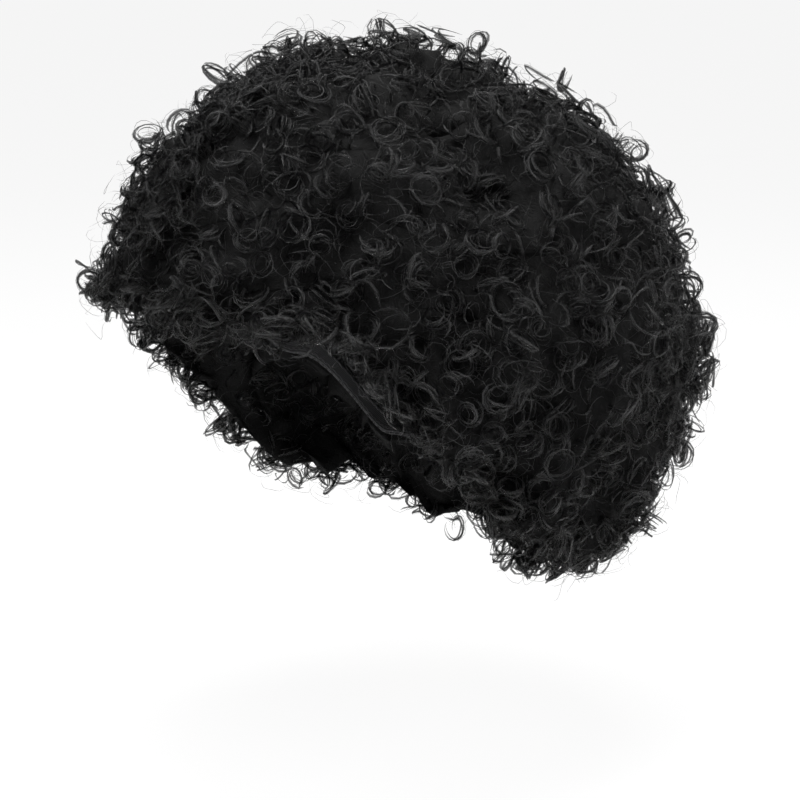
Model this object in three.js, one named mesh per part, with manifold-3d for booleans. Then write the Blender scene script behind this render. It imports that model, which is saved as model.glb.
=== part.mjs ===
// A curly afro wig in the form that it has when worn: a stretch cap, an elastic band inside
// the cap's rim, and rings of curled hair (wefts) sewn round the cap from the crown to the nape.
// Millimetres, +Z up. The face looks along -Y and the wearer's left is +X.
// The origin is where the crown of the head meets the inside of the cap.

import * as THREE from "three";
import { ParametricGeometry } from "three/addons/geometries/ParametricGeometry.js";
import { mergeVertices } from "three/addons/utils/BufferGeometryUtils.js";
import Module from "manifold-3d";

// Head that the cap is cut for
const HEAD_HALF_WIDTH = 76;
const HEAD_HALF_LENGTH = 95;
const HEAD_HALF_HEIGHT = 95;

// Cap, elastic band and sewn strips
const CAP_WALL = 1.5;
const BAND_WALL = 1.2;
const BAND_ANGLE = 8;
const STRIP_WALL = 2;
const STRIP_HALF_ANGLE = 1.8;
const SEAT_GAP = 0.3;

// Outer form of the hair: an egg set back from the head's middle, its top drawn forward
const HAIR_HALF_WIDTH = 171;
const HAIR_HALF_LENGTH = 185;
const HAIR_HEIGHT_ABOVE = 179;
const HAIR_HEIGHT_BELOW = 171;
const HAIR_CENTRE_BACK = 29;
const HAIR_CENTRE_DROP = 103;
const HAIR_SHEAR = 0.1;

// Lower limits round the head, in degrees: azimuth from the face, polar angle of the cap's rim
// and polar angle of the lowest curls
const SECTIONS = [
  { azimuth: 0, rim: 69, edge: 88 },
  { azimuth: 45, rim: 76, edge: 90 },
  { azimuth: 65, rim: 91, edge: 113 },
  { azimuth: 90, rim: 106, edge: 146 },
  { azimuth: 135, rim: 141, edge: 161 },
  { azimuth: 180, rim: 148, edge: 164 },
];

// Rows of hair
const WEFT_COUNT = 12;
const WEFT_STEP = 12;
const RIM_MARGIN = 2.5;
const LOCK_PITCH = 52;
const FEWEST_LOCKS = 3;
const LOCK_SIDES = 5;
const LOCK_RISE = 0.55;
const CURL_RADIUS = 0.12;
const CURL_TURNS = 0.9;
const SHORTEST_REACH = 0.93;

// A lock from its root to its tip: share of its length, and girth as a share of its cell
const LOCK_PROFILE = [
  { reach: 0, girth: 0 },
  { reach: 0, girth: 0.26 },
  { reach: 0.4, girth: 0.72 },
  { reach: 0.75, girth: 0.84 },
  { reach: 0.94, girth: 0.66 },
  { reach: 1, girth: 0 },
];

// Facets of the cap
const COLUMNS = 20;
const CAP_ROWS = 180 / WEFT_STEP;
const CUTTER_REACH = 1.6;

const GOLDEN_ANGLE = Math.PI * (3 - Math.sqrt(5));
const toRadians = THREE.MathUtils.degToRad;

const wasm = await Module();
wasm.setup();

// Solid made from a closed geometry: shared vertices merged, pinched triangles at poles dropped
function solidOf(geometry) {
  const bare = geometry.clone();
  bare.deleteAttribute("normal");
  bare.deleteAttribute("uv");
  const merged = mergeVertices(bare, 1e-3);
  const corners = merged.index.array;
  const kept = [];
  for (let i = 0; i < corners.length; i += 3) {
    const [a, b, c] = corners.slice(i, i + 3);
    if (a !== b && b !== c && c !== a) kept.push(a, b, c);
  }
  return new wasm.Manifold(new wasm.Mesh({
    numProp: 3,
    vertProperties: new Float32Array(merged.attributes.position.array),
    triVerts: new Uint32Array(kept),
  }));
}

// Named mesh of a solid
function meshOf(name, solid, material) {
  const { vertProperties, triVerts } = solid.getMesh();
  const geometry = new THREE.BufferGeometry();
  geometry.setAttribute("position", new THREE.BufferAttribute(vertProperties, 3));
  geometry.setIndex(new THREE.BufferAttribute(triVerts, 1));
  geometry.computeVertexNormals();
  const mesh = new THREE.Mesh(geometry, material);
  mesh.name = name;
  return mesh;
}

// Value of a column of SECTIONS at any azimuth, eased between rows and alike on both sides
function sectionAt(column, azimuth) {
  const turned = THREE.MathUtils.euclideanModulo(azimuth, 360);
  const fromFace = Math.min(turned, 360 - turned);
  const next = Math.max(1, SECTIONS.findIndex((row) => row.azimuth >= fromFace));
  const [low, high] = [SECTIONS[next - 1], SECTIONS[next]];
  const share = THREE.MathUtils.smoothstep(fromFace, low.azimuth, high.azimuth);
  return THREE.MathUtils.lerp(low[column], high[column], share);
}

// Direction on the unit sphere at a polar angle from the crown and an azimuth from the face
function direction(polar, azimuth) {
  const fromCrown = toRadians(polar);
  const fromFace = toRadians(azimuth);
  return new THREE.Vector3(
    Math.sin(fromCrown) * Math.sin(fromFace),
    -Math.sin(fromCrown) * Math.cos(fromFace),
    Math.cos(fromCrown),
  );
}

// Point at a height above the inside of the cap
function headPoint(polar, azimuth, height) {
  const size = new THREE.Vector3(HEAD_HALF_WIDTH, HEAD_HALF_LENGTH, HEAD_HALF_HEIGHT);
  const point = direction(polar, azimuth).multiply(size.addScalar(height));
  point.z -= HEAD_HALF_HEIGHT;
  return point;
}

// Height of a sewn strip's under side: the cap's flat facets dip midway between two weft lines
const FACET_DIP = HEAD_HALF_WIDTH * (1 - Math.cos(toRadians(WEFT_STEP / 2)));
const STRIP_HEIGHT = CAP_WALL + SEAT_GAP - FACET_DIP;

// Height of a lock's root: inside the strip, which dips midway between two columns as well
const COLUMN_DIP = HEAD_HALF_LENGTH * (1 - Math.cos(Math.PI / COLUMNS));
const ROOT_HEIGHT = STRIP_HEIGHT + (STRIP_WALL - COLUMN_DIP) / 2;

// Point in the hair, which grows straight out of the cap and then bows over to its tip
function hairPoint(polar, azimuth, reach) {
  const spread = sectionAt("edge", azimuth) / sectionAt("rim", azimuth);
  const height = polar * spread < 90 ? HAIR_HEIGHT_ABOVE : HAIR_HEIGHT_BELOW;
  const size = new THREE.Vector3(HAIR_HALF_WIDTH, HAIR_HALF_LENGTH, height);
  const root = headPoint(polar, azimuth, ROOT_HEIGHT);
  const tip = direction(polar * spread, azimuth).multiply(size);
  tip.y -= HAIR_SHEAR * tip.z;
  tip.add(new THREE.Vector3(0, HAIR_CENTRE_BACK, -HAIR_CENTRE_DROP));
  const rise = LOCK_RISE * root.distanceTo(tip);
  const bend = direction(polar, azimuth).multiplyScalar(rise).add(root);
  return new THREE.QuadraticBezierCurve3(root, bend, tip).getPoint(reach);
}

// Egg-shaped solid at a height above the inside of the cap
function headForm(height) {
  const form = new THREE.SphereGeometry(1, COLUMNS, CAP_ROWS);
  form.rotateX(Math.PI / 2);
  form.scale(HEAD_HALF_WIDTH + height, HEAD_HALF_LENGTH + height, HEAD_HALF_HEIGHT + height);
  form.translate(0, 0, -HEAD_HALF_HEIGHT);
  return solidOf(form);
}

// Everything below a line that runs a given angle above the rim, as seen from the head's middle
function belowRim(raise) {
  const middle = new THREE.Vector3(0, 0, -HEAD_HALF_HEIGHT);
  const stacks = 4;
  const cutter = new ParametricGeometry((u, v, target) => {
    const azimuth = -u * 360;
    const rim = sectionAt("rim", azimuth) - raise;
    const step = Math.round(v * stacks);
    const polar = THREE.MathUtils.lerp(rim, 180, (step - 1) / (stacks - 1));
    const size = step === 0 ? 0 : CUTTER_REACH * HEAD_HALF_LENGTH;
    target.copy(direction(polar, azimuth)).multiplyScalar(size).add(middle);
  }, COLUMNS, stacks);
  return solidOf(cutter);
}

// Sewn strip of one weft: a flat ring seated on the cap, ended where the rim crosses it
function sewnStrip(polar) {
  const section = [
    { side: -1, height: 0 },
    { side: 1, height: 0 },
    { side: 1, height: STRIP_WALL },
    { side: -1, height: STRIP_WALL },
    { side: -1, height: 0 },
  ];
  const stacks = section.length - 1;
  const ring = new ParametricGeometry((u, v, target) => {
    const corner = section[Math.round(v * stacks)];
    const across = polar + corner.side * STRIP_HALF_ANGLE;
    target.copy(headPoint(across, u * 360, STRIP_HEIGHT + corner.height));
  }, COLUMNS, stacks);
  return solidOf(ring).subtract(belowRim(0));
}

// One corkscrewed lock, which fills its cell of the hair between its neighbours
function lock(polar, azimuth, cellWidth, phase, length) {
  const profile = LOCK_PROFILE.map(({ girth, reach }) => new THREE.Vector2(girth, reach));
  const form = new THREE.LatheGeometry(profile, LOCK_SIDES);
  const place = form.attributes.position;
  for (let i = 0; i < place.count; i += 1) {
    const reach = place.getY(i);
    const turn = phase + 2 * Math.PI * CURL_TURNS * reach;
    const across = place.getZ(i) + CURL_RADIUS * reach * Math.cos(turn);
    const along = place.getX(i) + CURL_RADIUS * reach * Math.sin(turn);
    const at = hairPoint(
      polar + across * WEFT_STEP / 2,
      azimuth + along * cellWidth / 2,
      reach * length,
    );
    place.setXYZ(i, at.x, at.y, at.z);
  }
  return solidOf(form);
}

// Azimuth at which the rim first lies below a weft, from the face round to the nape
function firstAzimuth(polar) {
  let azimuth = 0;
  while (sectionAt("rim", azimuth) < polar + RIM_MARGIN) azimuth += 1;
  return azimuth;
}

// Length of a weft's ring of tips, from one azimuth through the nape to the same on the other side
function tipLength(polar, start) {
  const stations = Array.from({ length: COLUMNS + 1 }, (_, i) => i / COLUMNS);
  const tips = stations.map((share) => hairPoint(polar, start + share * (360 - 2 * start), 1));
  return tips.slice(1).reduce((sum, tip, i) => sum + tip.distanceTo(tips[i]), 0);
}

// Locks of one weft, spaced evenly along the part of its ring that lies above the rim
function weft(number) {
  const polar = (number - 0.5) * WEFT_STEP;
  const start = firstAzimuth(polar);
  const arc = 360 - 2 * start;
  const count = Math.max(FEWEST_LOCKS, Math.round(tipLength(polar, start) / LOCK_PITCH));
  const cellWidth = arc / count;
  let solid = sewnStrip(polar);
  for (let i = 0; i < count; i += 1) {
    const azimuth = start + (i + 0.5) * cellWidth;
    const phase = GOLDEN_ANGLE * (i * WEFT_COUNT + number);
    const length = THREE.MathUtils.mapLinear(Math.sin(phase), -1, 1, SHORTEST_REACH, 1);
    solid = solid.add(lock(polar, azimuth, cellWidth, phase, length));
  }
  return solid;
}

const capNet = new THREE.MeshStandardMaterial({ color: 0x1b1b1d, roughness: 0.9, metalness: 0 });
const elastic = new THREE.MeshStandardMaterial({ color: 0x161617, roughness: 0.8, metalness: 0 });
const hair = new THREE.MeshStandardMaterial({ color: 0x121213, roughness: 0.5, metalness: 0 });

const wig = new THREE.Group();

const cap = headForm(CAP_WALL).subtract(headForm(0)).subtract(belowRim(0));
wig.add(meshOf("cap", cap, capNet));

const lining = headForm(-SEAT_GAP).subtract(headForm(-SEAT_GAP - BAND_WALL));
const edgeBand = lining.intersect(belowRim(BAND_ANGLE)).subtract(belowRim(0));
wig.add(meshOf("edge_band", edgeBand, elastic));

for (let number = 1; number <= WEFT_COUNT; number += 1) {
  const name = `weft_${String(number).padStart(2, "0")}`;
  wig.add(meshOf(name, weft(number), hair));
}

export default wig;
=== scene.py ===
"""A black afro-style wig, dressed for a studio picture.

The wig is a stretch-net cap with an elastic band in its rim and twelve wefts of tight curls sewn round it.
Sizes are metres in the part's own frame: +Z is up, the face looks along -Y and the wearer's left is +X.
The origin is where the crown of the head meets the inside of the cap.
"""

import logging
from dataclasses import dataclass, field
from enum import Enum

import bmesh
import bpy
import numpy as np
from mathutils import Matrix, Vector
from numpy.typing import NDArray


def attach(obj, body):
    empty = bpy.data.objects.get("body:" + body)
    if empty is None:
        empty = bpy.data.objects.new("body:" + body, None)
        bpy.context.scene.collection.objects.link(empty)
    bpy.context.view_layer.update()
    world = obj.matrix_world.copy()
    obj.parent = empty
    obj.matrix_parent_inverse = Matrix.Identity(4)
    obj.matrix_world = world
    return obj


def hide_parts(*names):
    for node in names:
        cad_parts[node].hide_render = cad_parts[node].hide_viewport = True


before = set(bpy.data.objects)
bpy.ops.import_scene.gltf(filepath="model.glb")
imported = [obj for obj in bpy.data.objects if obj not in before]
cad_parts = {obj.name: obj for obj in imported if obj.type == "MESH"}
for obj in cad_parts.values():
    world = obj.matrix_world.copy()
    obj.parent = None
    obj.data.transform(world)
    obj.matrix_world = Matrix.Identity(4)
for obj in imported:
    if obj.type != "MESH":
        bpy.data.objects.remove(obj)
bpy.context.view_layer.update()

Array = NDArray[np.float64]
Colour = tuple[float, float, float]
Range = tuple[float, float]
Region = tuple[float, float, float, float]
LOG = logging.getLogger("wig")

SEED = 41
CLUMP_SEED = 190
FINE_SEED = SEED + 2
PATCH_SEED = SEED + 5
RELIEF_SEED = SEED + 9
WEFT_SEED_STEP = 17
GOLDEN = (5 ** 0.5 - 1) / 2
FULL_TURN = 2 * np.pi

# Ripples: number of waves, and how their lengths differ
WAVES = 6
WAVE_STRETCH = (0.75, 1.35)

# Bake map: empty edge and filled span of each tube's cell, and the triangles of a tube's two ends
MAP_EDGE = 0.06
MAP_SPAN = 0.88
MAP_ENDS = (((0.1, 0.0), (0.9, 0.0), (0.5, 0.05)), ((0.1, 0.95), (0.9, 0.95), (0.5, 1.0)))
CLOTH_MAP = (0.0, 0.0, 1.0, 0.7)
THREAD_MAP = (0.0, 0.7, 1.0, 1.0)
WELD_LIMIT = 1e-6

# Materials: refraction of the fibre, and how far the tone of cloth varies
FIBRE_IOR = 1.5
WEAR_LEAST = 0.7
WEAR_MORE = 0.5

# Strands: slow sway, as shares of a turn and of the radius, and how far the ends thin out
SWAY_LEAST = 0.7
SWAY_MORE = 0.6
SWAY_GIRTH = 0.1
SWAY_SHIFT = 0.16
END_TAPER = 0.9

# Sites of curls: fewest on a weft, and how far each strays from its even place
FEWEST_CURLS = 4
SITE_JITTER = 0.4
FALL_JITTER = 0.06

# Skew direction, from which a direction square to any outward one is found
SKEW = (0.31, 0.17, 0.94)

# How strands of one curl differ
PITCH_SPREAD = (0.8, 1.25)
TURN_SPREAD = (0.85, 1.15)
TONE_SPREAD = 0.2


class Slot(Enum):
    """Material slots of the record."""

    HAIR = "hair"
    CAP_NET = "cap_net"
    ELASTIC = "elastic"


class Make(Enum):
    """What a shape of a weft is made of, numbered as the weft's materials are."""

    RIBBON = 0
    HAIR = 1
    BED = 2


@dataclass(frozen=True)
class Section:
    """Where the cap's rim and the hair's edge lie at one azimuth from the face, in degrees from the crown."""

    azimuth: float
    rim: float
    edge: float


SECTIONS = (
    Section(0, 69, 88),
    Section(45, 76, 90),
    Section(65, 91, 113),
    Section(90, 106, 146),
    Section(135, 141, 161),
    Section(180, 148, 164),
)


@dataclass(frozen=True)
class Margin:
    """How far above the rim the lowest tips end at one azimuth from the face, in degrees of their roots."""

    azimuth: float
    height: float


MARGINS = (
    Margin(0, 5),
    Margin(48, 7),
    Margin(58, 8),
    Margin(70, 1),
    Margin(80, 1),
    Margin(90, 5),
    Margin(100, 9),
    Margin(110, 12),
    Margin(125, 13.5),
    Margin(180, 14),
)


def unit(vectors: Array) -> Array:
    """Scale each vector in the last axis to length one."""
    return vectors / np.linalg.norm(vectors, axis=-1, keepdims=True)


def eased(share: Array) -> Array:
    """Smooth step from 0 to 1: 3 s squared minus 2 s cubed, held at both ends."""
    held = np.clip(share, 0, 1)
    return held * held * (3 - 2 * held)


def folded(azimuth: Array) -> Array:
    """Degrees from the face on either side: 0 at the face and 180 at the nape."""
    return np.abs((np.asarray(azimuth, float) + 180) % 360 - 180)


def travelled(line: Array) -> Array:
    """Length along a line of points, from 0 at its first."""
    return np.concatenate(((0,), np.cumsum(np.linalg.norm(np.diff(line, axis=0), axis=-1))))


def ripple(points: Array, wavelength: float, seed: int) -> Array:
    """Smooth lumps in space: a sum of sine waves of about one length, in random directions.

    Args:
        points: Places in the last axis.
        wavelength: Mean length of a wave.
        seed: Seed of the directions and starts.

    Returns:
        One value for each place, mostly between -1 and 1.
    """
    rng = np.random.default_rng(seed)
    way = unit(rng.normal(size=(WAVES, 3)))
    stretch = rng.uniform(*WAVE_STRETCH, WAVES)
    start = rng.uniform(0, FULL_TURN, WAVES)
    phase = points @ (way / (wavelength * stretch[:, None])).T * FULL_TURN + start
    return np.sin(phase).sum(axis=-1) / np.sqrt(2 * WAVES)


@dataclass(frozen=True)
class HairForm:
    """The head, and the way that hair runs from it to the outer form of the wig."""

    head_half_width: float = 0.076
    head_half_length: float = 0.095
    head_half_height: float = 0.095
    hair_half_width: float = 0.171
    hair_half_length: float = 0.185
    height_above: float = 0.179
    height_below: float = 0.171
    centre_back: float = 0.029
    centre_drop: float = 0.103
    shear: float = 0.1
    rise: float = 0.55
    root_height: float = 0.0018
    weft_step: float = 12.0
    weft_count: int = 12
    rim_margin: float = 2.5
    root_margin: float = -1.0
    free_blend: float = 4.0
    thinnest: float = 1.5
    nudge: float = 0.5
    steps: int = 721

    def section(self, column: str, azimuth: Array) -> Array:
        """Read one column of the sections table, eased between its rows and alike on both sides.

        Args:
            column: Name of the column.
            azimuth: Degrees from the face.

        Returns:
            Degrees.
        """
        place = np.array([row.azimuth for row in SECTIONS], float)
        value = np.array([getattr(row, column) for row in SECTIONS], float)
        fold = folded(azimuth)
        row = np.clip(np.searchsorted(place, fold, side="right") - 1, 0, len(place) - 2)
        share = (fold - place[row]) / (place[row + 1] - place[row])
        return value[row] + (value[row + 1] - value[row]) * eased(share)

    def direction(self, polar: Array, azimuth: Array) -> Array:
        """Unit vector at degrees from the crown, and degrees from the face towards the wearer's left.

        Args:
            polar: Degrees from the crown.
            azimuth: Degrees from the face.

        Returns:
            Unit vectors.
        """
        down, round_ = np.broadcast_arrays(np.radians(polar), np.radians(azimuth))
        level = np.sin(down)
        return np.stack((level * np.sin(round_), -level * np.cos(round_), np.cos(down)), axis=-1)

    def head(self, polar: Array, azimuth: Array, height: Array) -> Array:
        """Point over the head: an ellipsoid whose half sizes grow by the height.

        Args:
            polar: Degrees from the crown.
            azimuth: Degrees from the face.
            height: Height over the skin.

        Returns:
            Points.
        """
        half = np.array((self.head_half_width, self.head_half_length, self.head_half_height))
        grown = half + np.asarray(height, float)[..., None]
        return self.direction(polar, azimuth) * grown - np.array((0, 0, self.head_half_height))

    def tip(self, polar: Array, azimuth: Array) -> Array:
        """Point of the outer form that hair from this root reaches: a sheared egg behind the face.

        Args:
            polar: Degrees of the root from the crown.
            azimuth: Degrees from the face.

        Returns:
            Points.
        """
        polar, azimuth = np.broadcast_arrays(np.asarray(polar, float), np.asarray(azimuth, float))
        spread = polar * self.section("edge", azimuth) / self.section("rim", azimuth)
        height = np.where(spread < 90, self.height_above, self.height_below)
        flat = np.array((self.hair_half_width, self.hair_half_length))
        half = np.concatenate((np.broadcast_to(flat, (*polar.shape, 2)), height[..., None]), axis=-1)
        place = self.direction(spread, azimuth) * half
        place[..., 1] -= self.shear * place[..., 2]
        return place + np.array((0, self.centre_back, -self.centre_drop))

    def point(self, polar: Array, azimuth: Array, reach: Array) -> Array:
        """Point on a hair: a quadratic Bezier that leaves the head square and turns out to its tip.

        Args:
            polar: Degrees of the root from the crown.
            azimuth: Degrees from the face.
            reach: 0 at the root and 1 at the tip.

        Returns:
            Points.
        """
        polar, azimuth, reach = np.broadcast_arrays(polar, azimuth, reach)
        root = self.head(polar, azimuth, np.full(polar.shape, self.root_height))
        tip = self.tip(polar, azimuth)
        length = np.linalg.norm(tip - root, axis=-1, keepdims=True)
        bend = root + self.direction(polar, azimuth) * length * self.rise
        t = np.asarray(reach, float)[..., None]
        return (1 - t) ** 2 * root + 2 * t * (1 - t) * bend + t * t * tip

    def normal(self, polar: Array, azimuth: Array) -> Array:
        """Outward direction of the outer form, from its two slopes, and straight up at the crown.

        Args:
            polar: Degrees of the root from the crown.
            azimuth: Degrees from the face.

        Returns:
            Unit vectors.
        """
        step = self.nudge
        steep = np.maximum(polar, step)
        down = self.tip(steep + step, azimuth) - self.tip(steep - step, azimuth)
        round_ = self.tip(steep, azimuth + step) - self.tip(steep, azimuth - step)
        upright = np.array((0.0, 0.0, 1.0))
        return np.where((polar < step)[..., None], upright, unit(np.cross(down, round_)))

    def line(self, number: int) -> float:
        """Degrees from the crown of the line that a weft is sewn along."""
        return (number - 0.5) * self.weft_step

    def start(self, number: int) -> float:
        """Azimuth at which a weft starts beside the face.

        Args:
            number: Number of the weft from the crown, which may be one past the last.

        Returns:
            Degrees from the face: 0 where the weft runs all round, 180 where there is none.
        """
        azimuth = np.linspace(0, 180, self.steps)
        sewn = self.section("rim", azimuth) >= self.line(number) + self.rim_margin
        return float(azimuth[sewn][0]) if sewn.any() and number <= self.weft_count else 180.0

    def free(self, number: int, azimuth: Array) -> Array:
        """How far a weft's lower side is free: 0 where another weft lies below it and 1 where none does."""
        past = folded(azimuth) - self.start(number + 1)
        return 1 - eased(past / self.free_blend + 0.5)

    def span(self, number: int, azimuth: Array, reach: Array | float = 1.0,
             recess: Array | float = 0.0) -> tuple[Array, Array]:
        """Upper and lower limit of a weft's hair, which runs on to the rim where no weft lies below it.

        Args:
            number: Number of the weft from the crown.
            azimuth: Degrees from the face.
            reach: 0 at the roots, which lie close to the rim, and 1 at the tips, which keep their margin.
            recess: Degrees by which the free limit is drawn in.

        Returns:
            Two arrays of degrees from the crown.
        """
        fold = folded(azimuth)
        high = np.full(fold.shape, (number - 1) * self.weft_step)
        own = high + self.weft_step
        margin = np.interp(fold, [row.azimuth for row in MARGINS], [row.height for row in MARGINS])
        rim = self.section("rim", azimuth)
        lowest = rim - recess - self.root_margin - (margin - self.root_margin) * reach
        limit = np.maximum(lowest, high + self.thinnest)
        return high, own + (limit - own) * self.free(number, azimuth)


FORM = HairForm()


class Value:
    """A shader socket that takes part in sums as a number does."""

    def __init__(self, graph: "Graph", socket: bpy.types.NodeSocket) -> None:
        """Keep the socket and the graph that it belongs to."""
        self.graph = graph
        self.socket = socket

    def __add__(self, other: "Value | float") -> "Value":
        """Sum."""
        return self.graph.maths("ADD", self, other)

    def __sub__(self, other: "Value | float") -> "Value":
        """Difference."""
        return self.graph.maths("SUBTRACT", self, other)

    def __mul__(self, other: "Value | float") -> "Value":
        """Product."""
        return self.graph.maths("MULTIPLY", self, other)

    def __rsub__(self, other: float) -> "Value":
        """Difference from a number."""
        return self.graph.maths("SUBTRACT", other, self)

    __radd__ = __add__
    __rmul__ = __mul__

    def __abs__(self) -> "Value":
        """Size without its sign."""
        return self.graph.maths("ABSOLUTE", self)

    def sine(self) -> "Value":
        """Sine."""
        return self.graph.maths("SINE", self)

    def between(self, low: float, high: float) -> "Value":
        """Smooth step from 0 at the low value to 1 at the high one."""
        inputs = {"Value": self, "From Min": low, "From Max": high}
        return self.graph.read("Result", "ShaderNodeMapRange", {"interpolation_type": "SMOOTHSTEP"}, inputs)


class Graph:
    """The nodes of one material or of the surround."""

    def __init__(self, owner: bpy.types.Material | bpy.types.World) -> None:
        """Start with no nodes.

        Args:
            owner: Material or world that the nodes belong to.
        """
        owner.use_nodes = True
        self.owner = owner
        self.tree = owner.node_tree
        self.tree.nodes.clear()

    @classmethod
    def material(cls, name: str) -> "Graph":
        """Graph of a new material."""
        return cls(bpy.data.materials.new(name))

    def node(self, kind: str, settings: dict[str, object] | None = None,
             inputs: dict[str | int, object] | None = None) -> bpy.types.Node:
        """Add a node: its settings first, then its inputs.

        Args:
            kind: Node type.
            settings: Properties by name.
            inputs: Sockets by name or number, each with a value or a link.

        Returns:
            The node.
        """
        made = self.tree.nodes.new(kind)
        for name, value in (settings or {}).items():
            setattr(made, name, value)
        for name, value in (inputs or {}).items():
            if isinstance(value, Value):
                self.tree.links.new(value.socket, made.inputs[name])
            else:
                made.inputs[name].default_value = value
        return made

    def read(self, output: str | int, kind: str, settings: dict[str, object] | None = None,
             inputs: dict[str | int, object] | None = None) -> Value:
        """Add a node and take one of its outputs."""
        return Value(self, self.node(kind, settings, inputs).outputs[output])

    def maths(self, operation: str, *values: Value | float) -> Value:
        """One step of arithmetic, by the operation's name and its inputs in order."""
        return self.read(0, "ShaderNodeMath", {"operation": operation}, dict(enumerate(values)))

    def attribute(self, name: str) -> Value:
        """Number that the mesh carries at each point."""
        return self.read("Fac", "ShaderNodeAttribute", {"attribute_name": name})

    def place(self) -> Value:
        """Place on the object, in metres."""
        return self.read("Object", "ShaderNodeTexCoord")

    def vector(self, x: Value, y: Value, z: Value) -> Value:
        """Place whose three coordinates are given values."""
        return self.read(0, "ShaderNodeCombineXYZ", None, {0: x, 1: y, 2: z})

    def noise(self, vector: Value, scale: float, detail: float, roughness: float = 0.6) -> Value:
        """Soft random value from 0 to 1, with lumps to the metre and finer layers of some strength."""
        inputs = {"Vector": vector, "Scale": scale, "Detail": detail, "Roughness": roughness}
        return self.read("Fac", "ShaderNodeTexNoise", None, inputs)

    def mix(self, factor: Value, low: Colour, high: Colour) -> Value:
        """Colour between two linear colours, the first at 0 and the second at 1."""
        return self.read(2, "ShaderNodeMix", {"data_type": "RGBA"}, {0: factor, 6: (*low, 1), 7: (*high, 1)})

    def bump(self, height: Value, distance: float, strength: float) -> Value:
        """Normal that follows a height from 0 to 1, with the top's real height and how much of it shows."""
        inputs = {"Height": height, "Distance": distance, "Strength": strength}
        return self.read("Normal", "ShaderNodeBump", None, inputs)

    def surface(self, inputs: dict[str | int, object]) -> bpy.types.Material:
        """End the graph in a Principled surface, whose sockets are given by name."""
        return self.end(self.read("BSDF", "ShaderNodeBsdfPrincipled", None, inputs))

    def end(self, shader: Value) -> bpy.types.Material:
        """End the graph in a shader and give back its material."""
        self.node("ShaderNodeOutputMaterial", None, {"Surface": shader})
        return self.owner


@dataclass(frozen=True)
class HairFinish:
    """Single synthetic hairs: near black, with a shine that differs from hair to hair."""

    dark: Colour = (0.0028, 0.0028, 0.0029)
    light: Colour = (0.016, 0.016, 0.0165)
    dull: float = 0.46
    shiny: float = 0.3

    def material(self) -> bpy.types.Material:
        """Colour and roughness follow each hair's tone: its own random tone, with painted light on swelling
        clumps and painted shade in their notches.

        Returns:
            The material.
        """
        graph = Graph.material("hair_single")
        tone = graph.attribute("tone")
        return graph.surface({
            "Base Color": graph.mix(tone, self.dark, self.light),
            "Roughness": self.dull - tone * (self.dull - self.shiny),
            "IOR": FIBRE_IOR,
        })


@dataclass(frozen=True)
class RibbonFinish:
    """A flat bundle of curled fibres: dense in its middle, with loose hairs that thin out to its edges."""

    dark: Colour = (0.0012, 0.0012, 0.0012)
    light: Colour = (0.038, 0.038, 0.0392)
    dull: float = 0.62
    shiny: float = 0.36
    streaks: float = 9.0
    breaks_per_metre: float = 60.0
    tone_shift: float = 57.0
    tone_depth: float = 91.0
    tone_least: float = 0.2
    tone_more: float = 0.8
    hair_edges: Range = (0.34, 0.68)
    hair_cover: float = 0.7
    body_cover: float = 0.75
    cover_edges: Range = (0.22, 1.3)
    specular: float = 0.42
    depth: float = 0.0006

    def material(self) -> bpy.types.Material:
        """Noise drawn out along the bundle gives its hairs, and its body fades from the middle to the edges.

        Returns:
            The material.
        """
        graph = Graph.material("hair_ribbon")
        tone = graph.attribute("tone")
        across = graph.attribute("across")
        place = graph.vector(
            across * self.streaks + tone * self.tone_shift,
            graph.attribute("along") * self.breaks_per_metre,
            tone * self.tone_depth,
        )
        streak = graph.noise(place, 1.0, 2, 0.7)
        hairs = streak.between(*self.hair_edges)
        body = 1.0 - abs(across)
        return graph.surface({
            # Tone is each curl's random tone with painted light on swelling clumps and painted shade in their
            # notches.
            "Base Color": graph.mix(hairs * (tone * self.tone_more + self.tone_least), self.dark, self.light),
            "Roughness": self.dull - hairs * (self.dull - self.shiny),
            "Normal": graph.bump(hairs, self.depth, 1.0),
            "Alpha": (hairs * self.hair_cover + body * self.body_cover).between(*self.cover_edges),
            "IOR": FIBRE_IOR,
            "Specular IOR Level": self.specular,
        })


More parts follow.
